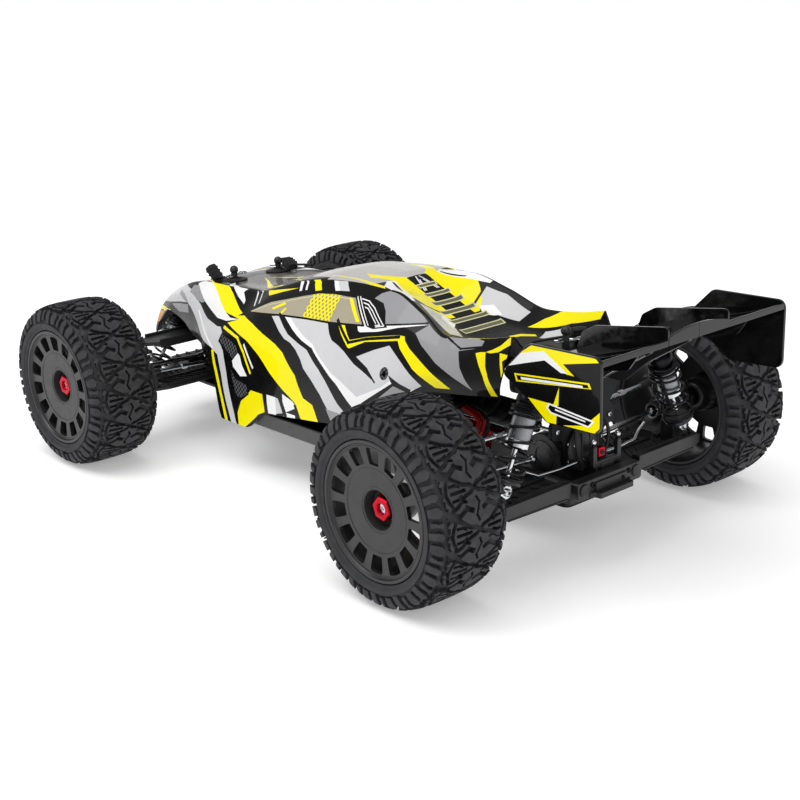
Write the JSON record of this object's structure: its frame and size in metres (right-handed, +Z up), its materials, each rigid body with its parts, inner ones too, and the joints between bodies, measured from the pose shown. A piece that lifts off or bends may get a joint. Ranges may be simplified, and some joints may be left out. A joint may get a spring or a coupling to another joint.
{
  "type": "radio-controlled truggy",
  "caption": "Large-scale off-road model car with a lift-off painted body, four sprung steered or driven wheels with lugged tyres, and a rear wing.",
  "frame": {"origin": "on the ground, below the middle of the object's bounding box", "axes": "+X is the car's left, the front faces -Y, +Z is up"},
  "size_m": [0.398, 0.639, 0.195],
  "materials": {
    "shell_paint": "clear polycarbonate, painted inside in black, grey, white and yellow, glossy",
    "arm_plastic": "black glass-filled nylon",
    "wing_plastic": "black nylon, smooth",
    "rim_plastic": "black nylon, satin",
    "tyre_rubber": "black rubber with a lugged tread",
    "shock_metal": "black anodised aluminium",
    "chassis_metal": "dark anodised aluminium",
    "bright_steel": "machined steel",
    "spring_steel": "black coated spring wire",
    "battery_case": "black hard case",
    "motor_can": "dark red anodised can"
  },
  "bodies": {
    "chassis": {"chassis_plate": "chassis_metal", "front_bumper": "arm_plastic", "rear_bumper": "arm_plastic", "front_gearbox": "arm_plastic", "rear_gearbox": "arm_plastic", "front_shock_tower": "shock_metal", "rear_shock_tower": "shock_metal", "rear_wing": "wing_plastic", "battery_pack": "battery_case", "steering_servo": "arm_plastic", "radio_box": "arm_plastic", "motor": "motor_can"},
    "shell": {"body_shell": "shell_paint"},
    "center_differential": {"center_differential": "bright_steel"},
    "pinion_gear": {"pinion_gear": "bright_steel"},
    "front_left_arm": {"front_left_lower_arm": "arm_plastic"},
    "front_left_upper_link": {"front_left_upper_arm": "arm_plastic"},
    "front_left_drive_shaft": {"front_left_drive_shaft": "bright_steel"},
    "front_left_shock": {"front_left_shock_body": "shock_metal", "front_left_shock_spring": "spring_steel"},
    "front_left_shock_rod": {"front_left_shock_shaft": "bright_steel"},
    "front_left_hub_carrier": {"front_left_hub_carrier": "arm_plastic"},
    "front_left_knuckle": {"front_left_steering_knuckle": "arm_plastic"},
    "front_left_wheel": {"front_left_tyre": "tyre_rubber", "front_left_rim": "rim_plastic", "front_left_axle": "bright_steel"},
    "front_right_arm": {"front_right_lower_arm": "arm_plastic"},
    "front_right_upper_link": {"front_right_upper_arm": "arm_plastic"},
    "front_right_drive_shaft": {"front_right_drive_shaft": "bright_steel"},
    "front_right_shock": {"front_right_shock_body": "shock_metal", "front_right_shock_spring": "spring_steel"},
    "front_right_shock_rod": {"front_right_shock_shaft": "bright_steel"},
    "front_right_hub_carrier": {"front_right_hub_carrier": "arm_plastic"},
    "front_right_knuckle": {"front_right_steering_knuckle": "arm_plastic"},
    "front_right_wheel": {"front_right_tyre": "tyre_rubber", "front_right_rim": "rim_plastic", "front_right_axle": "bright_steel"},
    "rear_left_arm": {"rear_left_lower_arm": "arm_plastic"},
    "rear_left_upper_link": {"rear_left_camber_link": "arm_plastic"},
    "rear_left_drive_shaft": {"rear_left_drive_shaft": "bright_steel"},
    "rear_left_shock": {"rear_left_shock_body": "shock_metal", "rear_left_shock_spring": "spring_steel"},
    "rear_left_shock_rod": {"rear_left_shock_shaft": "bright_steel"},
    "rear_left_hub_carrier": {"rear_left_hub_carrier": "arm_plastic"},
    "rear_left_wheel": {"rear_left_tyre": "tyre_rubber", "rear_left_rim": "rim_plastic", "rear_left_axle": "bright_steel"},
    "rear_right_arm": {"rear_right_lower_arm": "arm_plastic"},
    "rear_right_upper_link": {"rear_right_camber_link": "arm_plastic"},
    "rear_right_drive_shaft": {"rear_right_drive_shaft": "bright_steel"},
    "rear_right_shock": {"rear_right_shock_body": "shock_metal", "rear_right_shock_spring": "spring_steel"},
    "rear_right_shock_rod": {"rear_right_shock_shaft": "bright_steel"},
    "rear_right_hub_carrier": {"rear_right_hub_carrier": "arm_plastic"},
    "rear_right_wheel": {"rear_right_tyre": "tyre_rubber", "rear_right_rim": "rim_plastic", "rear_right_axle": "bright_steel"},
    "steering_rack": {"steering_rack": "arm_plastic"},
    "tie_rod_left": {"tie_rod_left": "bright_steel"},
    "tie_rod_right": {"tie_rod_right": "bright_steel"}
  },
  "joints": [
    {"name": "body_shell_lift", "type": "slide", "parent": "chassis", "child": "shell", "axis": [0, 0, 1], "range_m": [0, 0.1]},
    {"name": "center_differential_spin", "type": "hinge", "parent": "chassis", "child": "center_differential", "pos_m": [0, 0.0405, 0.071], "axis": [0, 1, 0], "continuous": true},
    {"name": "pinion_gear_spin", "type": "hinge", "parent": "chassis", "child": "pinion_gear", "pos_m": [0.02935, 0.0405, 0.0648], "axis": [0, 1, 0], "continuous": true},
    {"name": "front_left_suspension", "type": "hinge", "parent": "chassis", "child": "front_left_arm", "pos_m": [0.032, -0.2445, 0.054], "axis": [0, -1, 0], "range_deg": [-8, 16], "stiffness_Nm_per_rad": 6, "springref_deg": -5.16},
    {"name": "front_left_upper_link_swing", "type": "hinge", "parent": "chassis", "child": "front_left_upper_link", "pos_m": [0.03, -0.2445, 0.097], "axis": [0, -1, 0], "range_deg": [-9, 17]},
    {"name": "front_left_drive_shaft_swing", "type": "hinge", "parent": "chassis", "child": "front_left_drive_shaft", "pos_m": [0.034, -0.2445, 0.071], "axis": [0, -1, 0], "range_deg": [-9, 17]},
    {"name": "front_left_shock_swing", "type": "hinge", "parent": "chassis", "child": "front_left_shock", "pos_m": [0.03, -0.2785, 0.114], "axis": [0, -1, 0], "range_deg": [-2.51, 4.52]},
    {"name": "front_left_shock_slide", "type": "slide", "parent": "front_left_shock", "child": "front_left_shock_rod", "axis": [-0.5812, 0, 0.8137], "range_m": [-0.0053, 0.01009], "deforming": ["front_left_shock_spring"]},
    {"name": "front_left_carrier_level", "type": "hinge", "parent": "front_left_arm", "child": "front_left_hub_carrier", "pos_m": [0.114, -0.2445, 0.058], "axis": [0, -1, 0], "range_deg": [-17, 9]},
    {"name": "steer_left", "type": "hinge", "parent": "front_left_hub_carrier", "child": "front_left_knuckle", "pos_m": [0.116, -0.2445, 0.075], "axis": [0, 0, 1], "range_deg": [-22, 22]},
    {"name": "front_left_wheel_spin", "type": "hinge", "parent": "front_left_knuckle", "child": "front_left_wheel", "pos_m": [0.165, -0.2445, 0.075], "axis": [1, 0, 0], "continuous": true},
    {"name": "front_right_suspension", "type": "hinge", "parent": "chassis", "child": "front_right_arm", "pos_m": [-0.032, -0.2445, 0.054], "axis": [0, 1, 0], "range_deg": [-8, 16], "stiffness_Nm_per_rad": 6, "springref_deg": -5.16},
    {"name": "front_right_upper_link_swing", "type": "hinge", "parent": "chassis", "child": "front_right_upper_link", "pos_m": [-0.03, -0.2445, 0.097], "axis": [0, 1, 0], "range_deg": [-9, 17]},
    {"name": "front_right_drive_shaft_swing", "type": "hinge", "parent": "chassis", "child": "front_right_drive_shaft", "pos_m": [-0.034, -0.2445, 0.071], "axis": [0, 1, 0], "range_deg": [-9, 17]},
    {"name": "front_right_shock_swing", "type": "hinge", "parent": "chassis", "child": "front_right_shock", "pos_m": [-0.03, -0.2785, 0.114], "axis": [0, 1, 0], "range_deg": [-2.51, 4.52]},
    {"name": "front_right_shock_slide", "type": "slide", "parent": "front_right_shock", "child": "front_right_shock_rod", "axis": [0.5812, 0, 0.8137], "range_m": [-0.0053, 0.01009], "deforming": ["front_right_shock_spring"]},
    {"name": "front_right_carrier_level", "type": "hinge", "parent": "front_right_arm", "child": "front_right_hub_carrier", "pos_m": [-0.114, -0.2445, 0.058], "axis": [0, 1, 0], "range_deg": [-17, 9]},
    {"name": "steer_right", "type": "hinge", "parent": "front_right_hub_carrier", "child": "front_right_knuckle", "pos_m": [-0.116, -0.2445, 0.075], "axis": [0, 0, 1], "range_deg": [-23, 23]},
    {"name": "front_right_wheel_spin", "type": "hinge", "parent": "front_right_knuckle", "child": "front_right_wheel", "pos_m": [-0.165, -0.2445, 0.075], "axis": [1, 0, 0], "continuous": true},
    {"name": "rear_left_suspension", "type": "hinge", "parent": "chassis", "child": "rear_left_arm", "pos_m": [0.032, 0.1915, 0.057], "axis": [0, -1, 0], "range_deg": [-8, 16], "stiffness_Nm_per_rad": 6, "springref_deg": -6.3},
    {"name": "rear_left_upper_link_swing", "type": "hinge", "parent": "chassis", "child": "rear_left_upper_link", "pos_m": [0.03, 0.1915, 0.097], "axis": [0, -1, 0], "range_deg": [-9, 17]},
    {"name": "rear_left_drive_shaft_swing", "type": "hinge", "parent": "chassis", "child": "rear_left_drive_shaft", "pos_m": [0.034, 0.1915, 0.071], "axis": [0, -1, 0], "range_deg": [-9, 17]},
    {"name": "rear_left_shock_swing", "type": "hinge", "parent": "chassis", "child": "rear_left_shock", "pos_m": [0.07, 0.2275, 0.145], "axis": [0, -1, 0], "range_deg": [-1.45, 2.41]},
    {"name": "rear_left_shock_slide", "type": "slide", "parent": "rear_left_shock", "child": "rear_left_shock_rod", "axis": [-0.4215, 0, 0.9068], "range_m": [-0.01059, 0.02068], "deforming": ["rear_left_shock_spring"]},
    {"name": "rear_left_carrier_level", "type": "hinge", "parent": "rear_left_arm", "child": "rear_left_hub_carrier", "pos_m": [0.114, 0.1915, 0.061], "axis": [0, -1, 0], "range_deg": [-17, 9]},
    {"name": "rear_left_wheel_spin", "type": "hinge", "parent": "rear_left_hub_carrier", "child": "rear_left_wheel", "pos_m": [0.165, 0.1915, 0.075], "axis": [1, 0, 0], "continuous": true},
    {"name": "rear_right_suspension", "type": "hinge", "parent": "chassis", "child": "rear_right_arm", "pos_m": [-0.032, 0.1915, 0.057], "axis": [0, 1, 0], "range_deg": [-8, 16], "stiffness_Nm_per_rad": 6, "springref_deg": -6.3},
    {"name": "rear_right_upper_link_swing", "type": "hinge", "parent": "chassis", "child": "rear_right_upper_link", "pos_m": [-0.03, 0.1915, 0.097], "axis": [0, 1, 0], "range_deg": [-9, 17]},
    {"name": "rear_right_drive_shaft_swing", "type": "hinge", "parent": "chassis", "child": "rear_right_drive_shaft", "pos_m": [-0.034, 0.1915, 0.071], "axis": [0, 1, 0], "range_deg": [-9, 17]},
    {"name": "rear_right_shock_swing", "type": "hinge", "parent": "chassis", "child": "rear_right_shock", "pos_m": [-0.07, 0.2275, 0.145], "axis": [0, 1, 0], "range_deg": [-1.45, 2.41]},
    {"name": "rear_right_shock_slide", "type": "slide", "parent": "rear_right_shock", "child": "rear_right_shock_rod", "axis": [0.4215, 0, 0.9068], "range_m": [-0.01059, 0.02068], "deforming": ["rear_right_shock_spring"]},
    {"name": "rear_right_carrier_level", "type": "hinge", "parent": "rear_right_arm", "child": "rear_right_hub_carrier", "pos_m": [-0.114, 0.1915, 0.061], "axis": [0, 1, 0], "range_deg": [-17, 9]},
    {"name": "rear_right_wheel_spin", "type": "hinge", "parent": "rear_right_hub_carrier", "child": "rear_right_wheel", "pos_m": [-0.165, 0.1915, 0.075], "axis": [1, 0, 0], "continuous": true},
    {"name": "steering_rack_slide", "type": "slide", "parent": "chassis", "child": "steering_rack", "axis": [1, 0, 0], "range_m": [-0.0105, 0.0105]},
    {"name": "tie_rod_left_swing", "type": "hinge", "parent": "steering_rack", "child": "tie_rod_left", "pos_m": [0.034, -0.2185, 0.072], "axis": [0, -1, 0], "range_deg": [-9, 17]},
    {"name": "tie_rod_right_swing", "type": "hinge", "parent": "steering_rack", "child": "tie_rod_right", "pos_m": [-0.034, -0.2185, 0.072], "axis": [0, 1, 0], "range_deg": [-9, 17]}
  ],
  "couplings": [
    {"joint": "pinion_gear_spin", "follows": "center_differential_spin", "ratio": -3},
    {"joint": "front_left_upper_link_swing", "follows": "front_left_suspension", "ratio": 1},
    {"joint": "front_left_drive_shaft_swing", "follows": "front_left_suspension", "ratio": 1},
    {"joint": "front_left_shock_swing", "follows": "front_left_suspension", "ratio": 0.25102},
    {"joint": "front_left_shock_slide", "follows": "front_left_suspension", "m_per_rad": 0.034342},
    {"joint": "front_left_carrier_level", "follows": "front_left_suspension", "ratio": -1},
    {"joint": "front_right_upper_link_swing", "follows": "front_right_suspension", "ratio": 1},
    {"joint": "front_right_drive_shaft_swing", "follows": "front_right_suspension", "ratio": 1},
    {"joint": "front_right_shock_swing", "follows": "front_right_suspension", "ratio": 0.25102},
    {"joint": "front_right_shock_slide", "follows": "front_right_suspension", "m_per_rad": 0.034342},
    {"joint": "front_right_carrier_level", "follows": "front_right_suspension", "ratio": -1},
    {"joint": "steer_right", "follows": "steer_left", "ratio": 1},
    {"joint": "rear_left_upper_link_swing", "follows": "rear_left_suspension", "ratio": 1},
    {"joint": "rear_left_drive_shaft_swing", "follows": "rear_left_suspension", "ratio": 1},
    {"joint": "rear_left_shock_swing", "follows": "rear_left_suspension", "ratio": 0.11923},
    {"joint": "rear_left_shock_slide", "follows": "rear_left_suspension", "m_per_rad": 0.072256},
    {"joint": "rear_left_carrier_level", "follows": "rear_left_suspension", "ratio": -1},
    {"joint": "rear_right_upper_link_swing", "follows": "rear_right_suspension", "ratio": 1},
    {"joint": "rear_right_drive_shaft_swing", "follows": "rear_right_suspension", "ratio": 1},
    {"joint": "rear_right_shock_swing", "follows": "rear_right_suspension", "ratio": 0.11923},
    {"joint": "rear_right_shock_slide", "follows": "rear_right_suspension", "m_per_rad": 0.072256},
    {"joint": "rear_right_carrier_level", "follows": "rear_right_suspension", "ratio": -1},
    {"joint": "steering_rack_slide", "follows": "steer_left", "m_per_rad": -0.026},
    {"joint": "tie_rod_left_swing", "follows": "front_left_suspension", "ratio": 1},
    {"joint": "tie_rod_right_swing", "follows": "front_right_suspension", "ratio": 1}
  ]
}
